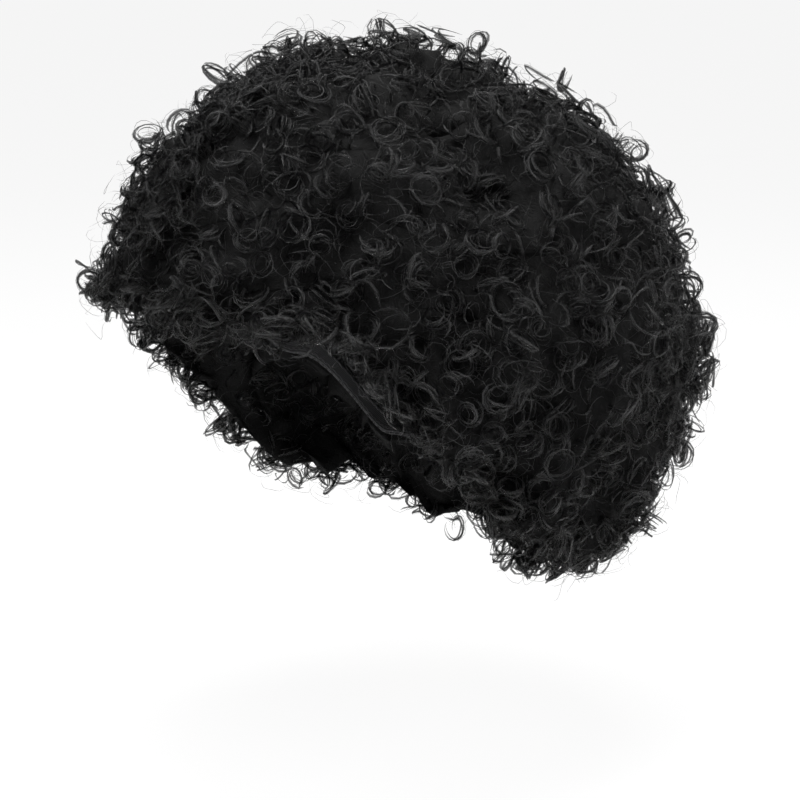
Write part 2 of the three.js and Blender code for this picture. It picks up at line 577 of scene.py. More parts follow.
@dataclass(frozen=True)
class BedFinish:
    """Packed hair between the curls: the same black fibre painted darker, as painted shade deep between the
    curls, and matt, with deeper curls showing as broken swirls.
    """

    # Both colours are darker than the curls' fibre: painted shade of the packed hair between the curls.
    dark: Colour = (0.0006, 0.0006, 0.0006)
    light: Colour = (0.012, 0.012, 0.0123)
    swirl_scale: float = 72.0
    swirl_lines: float = 30.0
    swirl_breaks: float = 6.0
    patch_scale: float = 85.0
    fibre_scale: float = 1100.0
    swirl_edges: Range = (0.36, 0.72)
    patch_edges: Range = (0.4, 0.66)
    patch_least: float = 0.15
    patch_more: float = 0.85
    fibre_edges: Range = (0.35, 0.8)
    fibre_least: float = 0.25
    fibre_more: float = 0.75
    dull: float = 0.85
    shiny: float = 0.55
    specular: float = 0.12
    depth: float = 0.0012

    def material(self) -> bpy.types.Material:
        """Strands drawn out along the level lines of a soft noise, in patches, with fine fibres over them.

        Returns:
            The material.
        """
        graph = Graph.material("hair_bed")
        place = graph.place()
        bend = graph.noise(place, self.swirl_scale, 1.5, 0.45)
        drift = graph.noise(place, self.swirl_scale * GOLDEN, 2)
        flow = graph.vector(bend * self.swirl_lines, drift * self.swirl_breaks, drift)
        swirl = graph.noise(flow, 1.0, 2, 0.7)
        patch = graph.noise(place, self.patch_scale, 2).between(*self.patch_edges)
        fibre = graph.noise(place, self.fibre_scale, 3, 0.7).between(*self.fibre_edges)
        strand = swirl.between(*self.swirl_edges) * (fibre * self.fibre_more + self.fibre_least)
        lit = patch * self.patch_more + self.patch_least
        return graph.surface({
            "Base Color": graph.mix(strand * lit, self.dark, self.light),
            "Roughness": self.dull - strand * (self.dull - self.shiny),
            "Normal": graph.bump(strand, self.depth, 0.8),
            "Specular IOR Level": self.specular,
        })


@dataclass(frozen=True)
class NetFinish:
    """Black stretch net: small open cells between fine threads."""

    thread: Colour = (0.032, 0.032, 0.034)
    hole: Colour = (0.004, 0.004, 0.0042)
    cells_per_metre: float = 420.0
    uneven: float = 0.45
    thread_edges: Range = (0.05, 0.24)
    wear_scale: float = 60.0
    depth: float = 0.0005

    def material(self) -> bpy.types.Material:
        """Threads stand on the walls between cells of nearly even size.

        Returns:
            The material.
        """
        graph = Graph.material("cap_net")
        place = graph.place()
        inputs = {"Vector": place, "Scale": self.cells_per_metre, "Randomness": self.uneven}
        gap = graph.read("Distance", "ShaderNodeTexVoronoi", {"feature": "DISTANCE_TO_EDGE"}, inputs)
        thread = 1.0 - gap.between(*self.thread_edges)
        worn = graph.noise(place, self.wear_scale, 3)
        return graph.surface({
            "Base Color": graph.mix(thread * (WEAR_LEAST + worn * WEAR_MORE), self.hole, self.thread),
            "Roughness": 0.95 - thread * 0.2,
            "Normal": graph.bump(thread, self.depth, 0.8),
            "Sheen Weight": 0.05,
        })


@dataclass(frozen=True)
class ElasticFinish:
    """Woven elastic: ribs along the band and fine weft threads across it, with painted shade in the valleys
    between them.
    """

    # Colour of the weave's valleys: the band's own black painted darker, as painted shade between ribs and
    # threads.
    valley_painted_shade: Colour = (0.007, 0.007, 0.0075)
    rib: Colour = (0.03, 0.03, 0.032)
    ribs_per_metre: float = 700.0
    threads_per_metre: float = 1500.0
    rib_share: float = 0.7
    thread_share: float = 0.3
    fuzz_scale: float = 900.0
    depth: float = 0.0004

    def material(self) -> bpy.types.Material:
        """Two crossed waves over the band's own width and length.

        Returns:
            The material.
        """
        graph = Graph.material("edge_elastic")
        rib = (graph.attribute("across") * (FULL_TURN * self.ribs_per_metre)).sine() * 0.5 + 0.5
        thread = (graph.attribute("along") * (FULL_TURN * self.threads_per_metre)).sine() * 0.5 + 0.5
        weave = rib * self.rib_share + thread * self.thread_share
        fuzz = graph.noise(graph.place(), self.fuzz_scale, 2)
        return graph.surface({
            # Darker in the weave's valleys than on its crests: painted shade, with random fuzz of wear over
            # it.
            "Base Color": graph.mix(weave * (WEAR_LEAST + fuzz * WEAR_MORE), self.valley_painted_shade, self.rib),
            "Roughness": 0.9 - weave * 0.25,
            "Normal": graph.bump(weave, self.depth, 0.8),
        })


@dataclass(frozen=True)
class ThreadFinish:
    """Twisted sewing thread."""

    dark: Colour = (0.02, 0.02, 0.021)
    light: Colour = (0.06, 0.06, 0.062)
    twist_scale: float = 2500.0
    tone_share: float = 0.6
    twist_share: float = 0.4

    def material(self) -> bpy.types.Material:
        """Colour follows each stitch's own tone and a fine twist.

        Returns:
            The material.
        """
        graph = Graph.material("sewing_thread")
        twist = graph.noise(graph.place(), self.twist_scale, 1)
        tone = graph.attribute("tone") * self.tone_share + twist * self.twist_share
        return graph.surface({
            "Base Color": graph.mix(tone, self.dark, self.light),
            "Roughness": 0.75 - tone * 0.2,
        })


@dataclass(frozen=True)
class FloorFinish:
    """Matt white paper, lit through so that it stays pale all over."""

    low: Colour = (0.88, 0.88, 0.88)
    high: Colour = (0.92, 0.92, 0.92)
    glow: float = 0.9
    mottle_scale: float = 3.0

    def material(self) -> bpy.types.Material:
        """Faint mottling of plain paper, clear from below so that the wig's inside can be seen.

        Returns:
            The material.
        """
        graph = Graph.material("paper")
        mottle = graph.noise(graph.place(), self.mottle_scale, 2)
        lit = graph.read(0, "ShaderNodeBsdfDiffuse", None, {"Color": graph.mix(mottle, self.low, self.high)})
        glow = graph.read(0, "ShaderNodeEmission")
        seen = graph.read("Is Camera Ray", "ShaderNodeLightPath") * self.glow
        both = graph.read(0, "ShaderNodeMixShader", None, {0: seen, 1: lit, 2: glow})
        clear = graph.read(0, "ShaderNodeBsdfTransparent")
        behind = graph.read("Backfacing", "ShaderNodeNewGeometry")
        return graph.end(graph.read(0, "ShaderNodeMixShader", None, {0: behind, 1: both, 2: clear}))


@dataclass(frozen=True)
class Tubes:
    """Profiles carried along paths, many at once.

    Points are (tube, station, corner, axis). A ring joins its last station to its first, and otherwise both
    ends are capped. An open profile leaves its first and last corner apart, for a form that closes at a pole.
    Carried values have one number for each tube, station and corner.
    """

    points: Array
    carried: dict[str, Array]
    material: int = 0
    ring: bool = False
    open_profile: bool = False
    region: Region = (0.0, 0.0, 1.0, 1.0)

    def indices(self) -> NDArray[np.int64]:
        """Number of every point (tube, station, corner)."""
        return np.arange(self.points[..., 0].size).reshape(self.points.shape[:3])

    def faces(self) -> tuple[NDArray[np.int64], Array]:
        """Four-cornered faces along the sides, with their places on the map.

        The map is a grid of cells, one for each tube: along the tube upwards and round it sideways.

        Returns:
            Corner indices (face, 4) and map places (face, 4, 2).
        """
        tubes, stations, corners, _ = self.points.shape
        index = self.indices()
        ahead = np.roll(index, -1, axis=1)
        rows = stations if self.ring else stations - 1
        columns = corners - 1 if self.open_profile else corners
        beside = np.roll(index, -1, axis=2)
        beyond = np.roll(ahead, -1, axis=2)
        sides = np.stack((index, beside, beyond, ahead), axis=-1)[:, :rows, :columns]
        row, column = np.meshgrid(np.arange(rows), np.arange(columns), indexing="ij")
        across = (column[..., None] + np.array((0, 1, 1, 0))) / columns
        along = (row[..., None] + np.array((0, 0, 1, 1))) / rows
        local = np.stack((across, MAP_EDGE + MAP_SPAN * along), axis=-1)
        places = self.cells(np.broadcast_to(local, (tubes, *local.shape)))
        return sides.reshape(-1, 4), places.reshape(-1, 4, 2)

    def caps(self) -> tuple[NDArray[np.int64], Array]:
        """Fans of triangles over both ends of every tube that isn't a ring.

        Returns:
            Corner indices (face, 3) and map places (face, 3, 2).
        """
        tubes, _, corners, _ = self.points.shape
        index = self.indices()
        fan = np.arange(1, corners - 1)
        first = np.stack((np.zeros_like(fan), fan + 1, fan), axis=-1)
        last = np.stack((np.zeros_like(fan), fan, fan + 1), axis=-1)
        ends = np.stack((index[:, 0][:, first], index[:, -1][:, last]), axis=1)
        local = np.array(MAP_ENDS)[None, :, None]
        places = self.cells(np.broadcast_to(local, (tubes, 2, len(fan), 3, 2)))
        return ends.reshape(-1, 3), places.reshape(-1, 3, 2)

    def cells(self, local: Array) -> Array:
        """Put each tube's map in its own cell of the region.

        Args:
            local: Map places from 0 to 1, the tube in the first axis.

        Returns:
            Map places in the region.
        """
        tubes = local.shape[0]
        low_u, low_v, high_u, high_v = self.region
        columns = int(np.ceil(np.sqrt(tubes * (high_u - low_u) / (high_v - low_v))))
        rows = int(np.ceil(tubes / columns))
        row, column = np.divmod(np.arange(tubes), columns)
        corner = np.stack((column, row), axis=-1).reshape(tubes, *([1] * (local.ndim - 2)), 2)
        grid = np.array((columns, rows))
        size = np.array((high_u - low_u, high_v - low_v))
        return np.array((low_u, low_v)) + (corner + MAP_EDGE + MAP_SPAN * local) / grid * size


def piece(name: str, batches: list[Tubes], materials: list[bpy.types.Material],
          replaced: str, weld: bool = False) -> bpy.types.Object:
    """Join batches of tubes in one mesh object that stands for a node of the frame.

    Args:
        name: Name of the object.
        batches: Its shapes.
        materials: Materials that the batches number.
        replaced: Node that it stands for.
        weld: Whether points that meet at a pole are made one.

    Returns:
        The object.
    """
    mesh = bpy.data.meshes.new(name)
    names = sorted({key for batch in batches for key in batch.carried})
    points, corners, starts, places, kinds = [], [], [], [], []
    carried: dict[str, list[Array]] = {key: [] for key in names}
    first_point = 0
    first_corner = 0
    for batch in batches:
        groups = [batch.faces()] if batch.ring else [batch.faces(), batch.caps()]
        for index, place in groups:
            corners.append((index + first_point).ravel())
            starts.append(first_corner + np.arange(len(index)) * index.shape[1])
            places.append(place.reshape(-1, 2))
            kinds.append(np.full(len(index), batch.material))
            first_corner += index.size
        points.append(batch.points.reshape(-1, 3))
        for key in names:
            value = batch.carried.get(key, np.zeros(1))
            carried[key].append(np.broadcast_to(value, batch.points.shape[:3]).ravel())
        first_point += batch.points[..., 0].size
    mesh.vertices.add(first_point)
    mesh.vertices.foreach_set("co", np.concatenate(points).ravel())
    mesh.loops.add(first_corner)
    mesh.loops.foreach_set("vertex_index", np.concatenate(corners))
    face_starts = np.concatenate(starts)
    mesh.polygons.add(len(face_starts))
    mesh.polygons.foreach_set("loop_start", face_starts)
    mesh.polygons.foreach_set("material_index", np.concatenate(kinds))
    mesh.polygons.foreach_set("use_smooth", np.ones(len(face_starts), bool))
    mesh.update(calc_edges=True)
    chart = mesh.uv_layers.new(name="OFBake")
    chart.data.foreach_set("uv", np.concatenate(places).ravel())
    for key in names:
        held = mesh.attributes.new(key, "FLOAT", "POINT")
        held.data.foreach_set("value", np.concatenate(carried[key]))
    if weld:
        joined = bmesh.new()
        joined.from_mesh(mesh)
        bmesh.ops.remove_doubles(joined, verts=joined.verts, dist=WELD_LIMIT)
        joined.to_mesh(mesh)
        joined.free()
    for material in materials:
        mesh.materials.append(material)
    made = bpy.data.objects.new(name, mesh)
    bpy.context.scene.collection.objects.link(made)
    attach(made, "root")
    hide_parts(replaced)
    LOG.info("%s: %d points, %d triangles", name, len(mesh.vertices), first_corner - 2 * len(face_starts))
    return made


@dataclass(frozen=True)
class Helices:
    """Helices, one in each row of every array."""

    centre: Array
    axis: Array
    side: Array
    radius: Array
    pitch: Array
    turns: Array
    phase: Array
    hand: Array
    tone: Array
    spiral: Array


@dataclass(frozen=True)
class Strands(Helices):
    """Strands with a profile of their own along each helix."""

    thick: Array
    wide: Array
    cone: Array
    wobble: Array

    def tubes(self, stations: int, make: Make, region: Region) -> Tubes:
        """A three-cornered profile carried along each helix, whose radius sways and whose ends are thin.

        A point lies at centre + axis times (share - 1/2) times turns times pitch + radius times
        (side times cosine + across times sine) of the turned angle, with a slow sway added on each axis.
        The profile is as thick and as wide as the strand, and leans from the helix's side towards its axis.

        Args:
            stations: Points along a strand.
            make: What the strands are made of.
            region: Place on the map.

        Returns:
            The tubes.
        """
        share = np.linspace(0, 1, stations)
        corner = FULL_TURN * np.arange(3) / 3
        angle = self.phase[:, None] + (self.hand * self.turns)[:, None] * FULL_TURN * share
        across = np.cross(self.axis, self.side)
        radial = np.cos(angle)[..., None] * self.side[:, None] + np.sin(angle)[..., None] * across[:, None]
        rise = (self.turns * self.pitch)[:, None] * (share - 0.5)
        rate = SWAY_LEAST + SWAY_MORE * self.wobble[:, None]
        sway = np.sin(FULL_TURN * share[None, :, None] * rate + FULL_TURN * self.wobble[:, None, ::-1])
        girth = self.radius[:, None] * (1 + SWAY_GIRTH * sway[..., 0] + self.spiral[:, None] * (share - 0.5))
        path = self.centre[:, None] + self.axis[:, None] * rise[..., None] + radial * girth[..., None]
        path = path + SWAY_SHIFT * self.radius[:, None, None] * sway
        lean_out = np.cos(self.cone)[:, None, None]
        lean_up = np.sin(self.cone)[:, None, None]
        face = lean_out * radial + lean_up * self.axis[:, None]
        edge = lean_out * self.axis[:, None] - lean_up * radial
        thin = 1 - END_TAPER * np.abs(2 * share - 1) ** 4
        flat = self.thick[:, None, None] * thin[:, None] * np.cos(corner)
        tall = (-self.hand * self.wide)[:, None, None] * thin[:, None] * np.sin(corner)
        points = path[:, :, None] + flat[..., None] * face[:, :, None] + tall[..., None] * edge[:, :, None]
        length = FULL_TURN * self.turns * self.radius
        carried = {
            "tone": np.clip(self.tone, 0, 1)[:, None, None],
            "across": (np.sin(corner) / np.sin(corner[1]))[None, None],
            "along": (length[:, None] * share)[..., None],
        }
        return Tubes(points, carried, make.value, region=region)


@dataclass(frozen=True)
class Lay:
    """How strands of one make lie round a curl: counts, metres and degrees.

    Strands lie up to the inward share of the curl's radius inside it, are lifted along its line and drift
    round it. The map share is the part of the map's height that they take.
    """

    make: Make
    count: int
    stations: int
    thick: Range
    map_share: float
    wide: Range = (0.0, 0.0)
    cone: Range = (0, 0)
    inward: float = 0.0
    lift: float = 0.0
    drift: float = 0.0
    shade: float = 1.0


@dataclass(frozen=True)
class Sites:
    """Places that curls grow at, and the way out of the hair there."""

    place: Array
    out: Array


@dataclass(frozen=True)
class Curls(Helices):
    """Curls that several strands wind about."""

    def strands(self, lay: Lay, rng: np.random.Generator) -> Strands:
        """Strands of one make round every curl, close together but no two alike.

        Args:
            lay: How they lie.
            rng: Source of their differences.

        Returns:
            The strands.
        """
        each = np.repeat(np.arange(len(self.radius)), lay.count)
        total = len(each)
        thick = rng.uniform(*lay.thick, total)
        wide = np.maximum(rng.uniform(*lay.wide, total), thick)
        depth = (np.tile(np.arange(lay.count), len(self.radius)) + rng.random(total)) / lay.count
        lifted = rng.normal(0, lay.lift, total)[:, None]
        return Strands(
            centre=self.centre[each] + self.axis[each] * lifted,
            axis=self.axis[each],
            side=self.side[each],
            radius=self.radius[each] * (1 - lay.inward * depth),
            pitch=self.pitch[each] * rng.uniform(*PITCH_SPREAD, total),
            turns=self.turns[each] * rng.uniform(*TURN_SPREAD, total),
            phase=self.phase[each] + rng.normal(0, lay.drift, total),
            hand=self.hand[each],
            thick=thick,
            wide=wide,
            cone=np.radians(rng.uniform(*lay.cone, total)),
            tone=(self.tone[each] + rng.uniform(-TONE_SPREAD, TONE_SPREAD, total)) * lay.shade,
            spiral=self.spiral[each],
            wobble=rng.random((total, 3)),
        )


@dataclass(frozen=True)
class CurlKind:
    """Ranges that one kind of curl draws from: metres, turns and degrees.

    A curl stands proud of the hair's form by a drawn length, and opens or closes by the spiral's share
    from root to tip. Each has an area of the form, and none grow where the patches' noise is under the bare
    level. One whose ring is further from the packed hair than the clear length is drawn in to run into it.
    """

    radius: Range
    turns: Range
    pitch: Range
    tilt: Range
    proud: Range
    tone: Range
    spiral: float
    area: float
    bare: float
    clear: float
    lays: tuple[Lay, ...]


RINGLET = CurlKind(
    radius=(0.006, 0.01), turns=(1.0, 1.4), pitch=(0.003, 0.0075), tilt=(0, 45), proud=(-0.009, 0.0),
    tone=(0.3, 0.9), spiral=0.25, area=450e-6, bare=-0.6, clear=0.0065,
    lays=(
        Lay(Make.RIBBON, count=3, stations=16, thick=(0.00015, 0.0003), map_share=0.28,
            wide=(0.0009, 0.0019), cone=(-15, 55), inward=0.3, lift=0.0011, drift=0.8),
        Lay(Make.HAIR, count=1, stations=14, thick=(0.0001, 0.00018), map_share=0.1,
            inward=0.45, lift=0.002, drift=1.2),
    ),
)
LOOP = CurlKind(
    radius=(0.0055, 0.0095), turns=(0.8, 1.2), pitch=(0.004, 0.01), tilt=(40, 90), proud=(-0.008, 0.002),
    tone=(0.15, 0.75), spiral=0.4, area=560e-6, bare=-2.0, clear=0.003,
    lays=(
        Lay(Make.RIBBON, count=3, stations=13, thick=(0.00015, 0.0003), map_share=0.1,
            wide=(0.0006, 0.0014), cone=(-20, 60), inward=0.22, lift=0.0015, drift=0.5, shade=0.9),
        Lay(Make.HAIR, count=1, stations=13, thick=(0.0001, 0.00018), map_share=0.06,
            inward=0.25, lift=0.001, drift=0.8),
    ),
)
SPRING = CurlKind(
    radius=(0.006, 0.0095), turns=(1.0, 1.4), pitch=(0.003, 0.007), tilt=(60, 90), proud=(0.0005, 0.0075),
    tone=(0.1, 0.6), spiral=0.35, area=1600e-6, bare=-2.0, clear=0.0075,
    lays=(
        Lay(Make.RIBBON, count=3, stations=16, thick=(0.0002, 0.00035), map_share=0.05,
            wide=(0.0009, 0.0016), cone=(10, 75), inward=0.2, lift=0.0007, drift=0.4, shade=0.9),
        Lay(Make.HAIR, count=1, stations=15, thick=(0.0001, 0.00016), map_share=0.03,
            inward=0.3, lift=0.0012, drift=0.9),
    ),
)
WISP = CurlKind(
    radius=(0.005, 0.0105), turns=(0.4, 0.8), pitch=(0.003, 0.01), tilt=(0, 90), proud=(-0.012, -0.002),
    tone=(0.1, 0.6), spiral=0.5, area=130e-6, bare=-2.0, clear=0.0065,
    lays=(
        Lay(Make.RIBBON, count=1, stations=9, thick=(0.0001, 0.0002), map_share=0.16,
            wide=(0.0009, 0.0021), cone=(-60, 60), shade=0.9),
    ),
)
FRIZZ = CurlKind(
    radius=(0.005, 0.0115), turns=(0.3, 0.65), pitch=(0.003, 0.016), tilt=(0, 90), proud=(-0.005, 0.007),
    tone=(0.15, 0.9), spiral=0.5, area=120e-6, bare=-2.0, clear=0.009,
    lays=(
        Lay(Make.HAIR, count=1, stations=8, thick=(0.00005, 0.00011), map_share=0.06),
    ),
)


@dataclass(frozen=True)
class Weft:
    """One ring of hair sewn round the cap: packed hair with ringlets, loops and frizz over it."""

    number: int
    lump_depth: float = 0.0075
    lump_length: float = 0.066
    fine_lump_height: float = 0.5
    fine_lump_length: float = 0.45
    # Tone that curls gain on swelling clumps and lose in their notches: painted light on the swells and
    # painted shade in the notches.
    lump_painted_light_and_shade: float = 0.16
    notch: float = 1.5
    patch_length: float = 0.045
    under_depth: float = 0.085
    under_thinning: float = 1.35
    under_proud: float = 0.002
    under_swell: float = 0.002
    inland_swell: float = 0.02
    inland_width: float = 9.0
    under_steps: int = 361
    under_line: float = 0.7
    under_reach: Range = (0.1, 0.8)
    under_crowding: float = 0.75
    lip_reach: Range = (0.8, 0.14)
    under_lean: float = 0.35
    under_rate: float = 1.4
    reach_step: float = 0.03
    root_proud: float = 0.005
    under_recess: float = 3.5
    under_relief: float = 1.6
    bed_depth: float = 0.0155
    bed_recess: float = 0.6
    bed_round: float = 0.32
    bed_overlap: float = 0.9
    bed_end: float = 4.0
    bed_tip: float = 0.02
    face_corners: int = 9
    crown_corners: int = 6
    under_corners: int = 7
    inner_corners: int = 3
    under_side: float = 0.75
    upper_side: float = 0.4
    shoulder: float = 0.04
    relief_length: float = 0.026
    fine_length: float = 0.021
    fine_depth: float = 0.0025
    pit_level: float = -0.25
    pit_blend: float = 0.6
    shell_start: float = 0.72
    shell_blend: float = 0.25
    bed_stations: int = 130
    pit_depth: float = 0.007
    seat_depth: float = 0.6
    form: HairForm = field(default=FORM)

    @property
    def name(self) -> str:
        """Name of the weft's node."""
        return f"weft_{self.number:02d}"

    def arc(self) -> Range:
        """First and last azimuth of the weft, round through the nape."""
        start = self.form.start(self.number)
        return start, 360 - start

    def closed(self) -> bool:
        """Whether the weft runs all round the head."""
        return self.form.start(self.number) == 0

    def lump(self, place: Array) -> Array:
        """How far the hair's clumps stand in or out, with notches deeper than swells.

        Args:
            place: Places in the hair.

        Returns:
            One value for each place.
        """
        broad = ripple(place, self.lump_length, CLUMP_SEED)
        fine = ripple(place, self.lump_length * self.fine_lump_length, CLUMP_SEED + 1)
        swell = broad + self.fine_lump_height * fine
        return np.where(swell < 0, self.notch * swell, swell)

    def outer_sites(self, area: float, rng: np.random.Generator) -> Sites:
        """Even places over the weft's share of the outer form.

        Azimuth follows equal shares of area, and the angle from the crown a golden-ratio sequence.

        Args:
            area: Area of the form for each place.
            rng: Source of the jitter.

        Returns:
            The sites.
        """
        first, last = self.arc()
        fine = np.linspace(first, last, self.form.steps)
        high, low = self.form.span(self.number, fine)
        middle = (high + low) / 2
        tall = np.linalg.norm(self.form.tip(low, fine) - self.form.tip(high, fine), axis=-1)
        path = np.linalg.norm(np.diff(self.form.tip(middle, fine), axis=0), axis=-1)
        covered = np.concatenate(((0,), np.cumsum(path * (tall[1:] + tall[:-1]) / 2)))
        count = max(FEWEST_CURLS, int(round(covered[-1] / area)))
        order = np.arange(count)
        share = (order + 0.5 + rng.uniform(-SITE_JITTER, SITE_JITTER, count)) / count
        azimuth = np.interp(share * covered[-1], covered, fine)
        high, low = self.form.span(self.number, azimuth)
        fall = (order * GOLDEN + rng.uniform(-FALL_JITTER, FALL_JITTER, count)) % 1
        polar = np.sqrt(high ** 2 + fall * (low ** 2 - high ** 2))
        out = self.form.normal(polar, azimuth)
        place = self.form.tip(polar, azimuth)
        held = 1 - self.form.free(self.number, azimuth)
        inland = np.maximum(eased((low - polar) / self.inland_width), held)
        limit = self.under_swell + self.inland_swell * inland
        swell = np.minimum(self.lump(place) * self.lump_depth, limit)
        return Sites(place + out * swell[:, None], out)

    def under_sites(self, area: float, rng: np.random.Generator) -> Sites:
        """Even places on the underside, where the weft is the lowest one at its azimuth.

        Two of three pairs spread from root to tip, a little closer at the tip.
        The third keeps to the outer lip.

        Args:
            area: Area of the underside for each place.
            rng: Source of the jitter.

        Returns:
            The sites.
        """
        start, end = self.form.start(self.number), self.form.start(self.number + 1)
        fine = np.linspace(start, end, self.under_steps)
        lowest = self.form.span(self.number, fine, self.under_line)[1]
        length = travelled(self.form.point(lowest, fine, self.under_line))
        count = 2 * int(np.ceil(length[-1] * self.under_depth / (area * self.under_thinning)))
        order = np.arange(count)
        share = (order + 0.5 + rng.uniform(-SITE_JITTER, SITE_JITTER, count)) / max(count, 1)
        azimuth = np.interp(share * length[-1], length, fine) * np.where(order % 2, 1, -1)
        spread = (order * GOLDEN) % 1
        inner = self.under_reach[0] + self.under_reach[1] * spread ** self.under_crowding
        lip = self.lip_reach[0] + self.lip_reach[1] * spread
        reach = np.where(order // 2 % 3, inner, lip)
        polar = self.form.span(self.number, azimuth, reach)[1]
        place = self.form.point(polar, azimuth, reach)
        along = unit(place - self.form.point(polar, azimuth, reach - self.reach_step))
        down = self.form.point(polar + 1, azimuth, reach) - self.form.point(polar - 1, azimuth, reach)
        down = unit(down - along * (down * along).sum(axis=-1, keepdims=True))
        out = unit(down + self.under_lean * along)
        proud = self.root_proud + (self.under_proud - self.root_proud) * reach ** 4
        clump = np.minimum(self.lump(self.form.tip(polar, azimuth)) * self.lump_depth, self.under_swell)
        swell = clump * eased(reach * self.under_rate)
        swelled = place + self.form.normal(polar, azimuth) * swell[:, None]
        return Sites(swelled + out * proud[:, None], out)

    def sites(self, kind: CurlKind, rng: np.random.Generator) -> Sites:
        """Places on the outer form and on the underside together, without the bare patches.

        Args:
            kind: Ranges of the curls.
            rng: Source of the jitter.

        Returns:
            The sites.
        """
        both = (self.outer_sites(kind.area, rng), self.under_sites(kind.area, rng))
        place = np.concatenate([one.place for one in both])
        out = np.concatenate([one.out for one in both])
        kept = ripple(place, self.patch_length, PATCH_SEED) > kind.bare
        return Sites(place[kept], out[kept])

    def curls(self, kind: CurlKind, rng: np.random.Generator) -> Curls:
        """Curls of one kind, each on its own leaning line.

        Args:
            kind: Ranges of the curls.
            rng: Source of their differences.

        Returns:
            The curls.
        """
        sites = self.sites(kind, rng)
        count = len(sites.place)
        tilt = np.radians(rng.uniform(*kind.tilt, count))
        radius = rng.uniform(*kind.radius, count)
        turns = rng.uniform(*kind.turns, count)
        pitch = rng.uniform(*kind.pitch, count)
        stands = turns * pitch / 2 * np.cos(tilt) + radius * np.sin(tilt)
        axis, side = self.leaned(sites.out, tilt, rng)
        centre = sites.place + sites.out * (rng.uniform(*kind.proud, count) - stands)[:, None]
        return Curls(
            centre=self.seated(centre, radius, kind.clear),
            axis=axis,
            side=side,
            radius=radius,
            pitch=pitch,
            turns=turns,
            phase=rng.uniform(0, FULL_TURN, count),
            hand=rng.choice((-1.0, 1.0), count),
            # Beside each curl's random tone: painted light where the clumps swell out and painted shade in
            # their notches.
            tone=rng.uniform(*kind.tone, count) + self.lump_painted_light_and_shade * self.lump(sites.place),
            spiral=rng.uniform(-kind.spiral, kind.spiral, count),
        )

    def seated(self, centre: Array, radius: Array, clear: float) -> Array:
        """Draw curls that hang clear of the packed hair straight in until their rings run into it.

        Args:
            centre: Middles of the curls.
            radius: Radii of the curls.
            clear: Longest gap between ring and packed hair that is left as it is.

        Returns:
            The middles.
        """
        bed = self.bed((0.0, 0.0, 1.0, 1.0)).points.reshape(-1, 3)
        distance = np.linalg.norm(bed - centre[:, None], axis=-1)
        inward = unit(bed[distance.argmin(axis=1)] - centre)
        gap = distance.min(axis=1) - radius
        return centre + inward * np.where(gap > clear, gap + self.seat_depth * radius, 0)[:, None]

    def leaned(self, out: Array, tilt: Array, rng: np.random.Generator) -> tuple[Array, Array]:
        """Lines that lean from the outward direction to any side, with a direction square to each.

        Args:
            out: Outward directions.
            tilt: Lean in radians.
            rng: Source of the side.

        Returns:
            The lines and the directions square to them.
        """
        spin = rng.uniform(0, FULL_TURN, len(out))
        level = unit(np.cross(out, np.array(SKEW)))
        other = np.cross(out, level)
        lean = np.cos(spin)[:, None] * level + np.sin(spin)[:, None] * other
        axis = np.cos(tilt)[:, None] * out + np.sin(tilt)[:, None] * lean
        return axis, unit(np.cross(axis, np.cross(lean, out)))

    def profile(self) -> tuple[Array, Array]:
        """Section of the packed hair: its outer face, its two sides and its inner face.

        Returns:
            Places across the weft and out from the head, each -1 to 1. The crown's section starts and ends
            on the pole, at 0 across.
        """
        crown = self.number == 1
        first = 0 if crown else -1
        face = np.linspace(first, 1, self.crown_corners if crown else self.face_corners)
        outer = np.stack((face, 1 - self.shoulder * np.abs(face) ** 12))
        fall = np.linspace(self.under_side, -self.under_side, self.under_corners)
        below = np.stack((np.ones(self.under_corners), fall))
        inner = np.stack((np.linspace(1, first, self.inner_corners), -np.ones(self.inner_corners)))
        climb = np.array(((-1.0, -1.0), (-self.upper_side, self.upper_side)))
        above = np.zeros((2, 0)) if crown else climb
        across, rise = np.concatenate((outer, below, inner, above), axis=1)
        return across, rise

    def bed(self, region: Region) -> Tubes:
        """Packed hair: its section in angle and reach, carried round the head and lumped.

        Args:
            region: Place on the map.

        Returns:
            The tube, a ring where the weft is closed.
        """
        first, last = self.arc()
        crown = self.number == 1
        azimuth = np.linspace(first, last, self.bed_stations, endpoint=not self.closed())
        across, rise = self.profile()
        share = (1 + rise) / 2
        recess = self.bed_recess + 4 * self.under_recess * share * (1 - share)
        high, low = self.form.span(self.number, azimuth[:, None], share, recess)
        high, low = high - self.bed_overlap, low + self.bed_overlap
        ends = np.ones(len(azimuth))
        if not self.closed():
            inset = np.minimum(azimuth - first, last - azimuth) / self.bed_end
            ends = np.clip(inset, self.bed_tip, 1) ** 0.5
        if crown:
            polar = low * across
        else:
            polar = (low + high) / 2 + (low - high) / 2 * ends[:, None] * across
        round_ = np.broadcast_to(azimuth[:, None], polar.shape)
        loose = self.form.free(self.number, azimuth)[:, None] * np.maximum(across, 0) ** 4
        relief = ripple(self.form.point(polar, round_, share), self.relief_length, RELIEF_SEED)
        polar = polar + relief * self.under_relief * loose
        tips = self.form.tip(polar, round_)
        out = self.form.normal(polar, round_)
        rounded = self.bed_round * loose
        reach = (1 + (rise - rounded * (rise + 1) / 2) * ends[:, None]) / 2
        fine = ripple(tips, self.fine_length, FINE_SEED) * self.fine_depth
        bare = (self.pit_level - ripple(tips, self.patch_length, PATCH_SEED)) / self.pit_blend
        pit = eased(bare) * self.pit_depth
        shell = eased((reach - self.shell_start) / self.shell_blend)
        shift = (self.lump(tips) * self.lump_depth + fine - pit - self.bed_depth) * shell
        place = self.form.point(polar, round_, reach) + out * shift[..., None]
        carried = {"tone": np.zeros(1)}
        return Tubes(place[None], carried, Make.BED.value, self.closed(), crown, region)

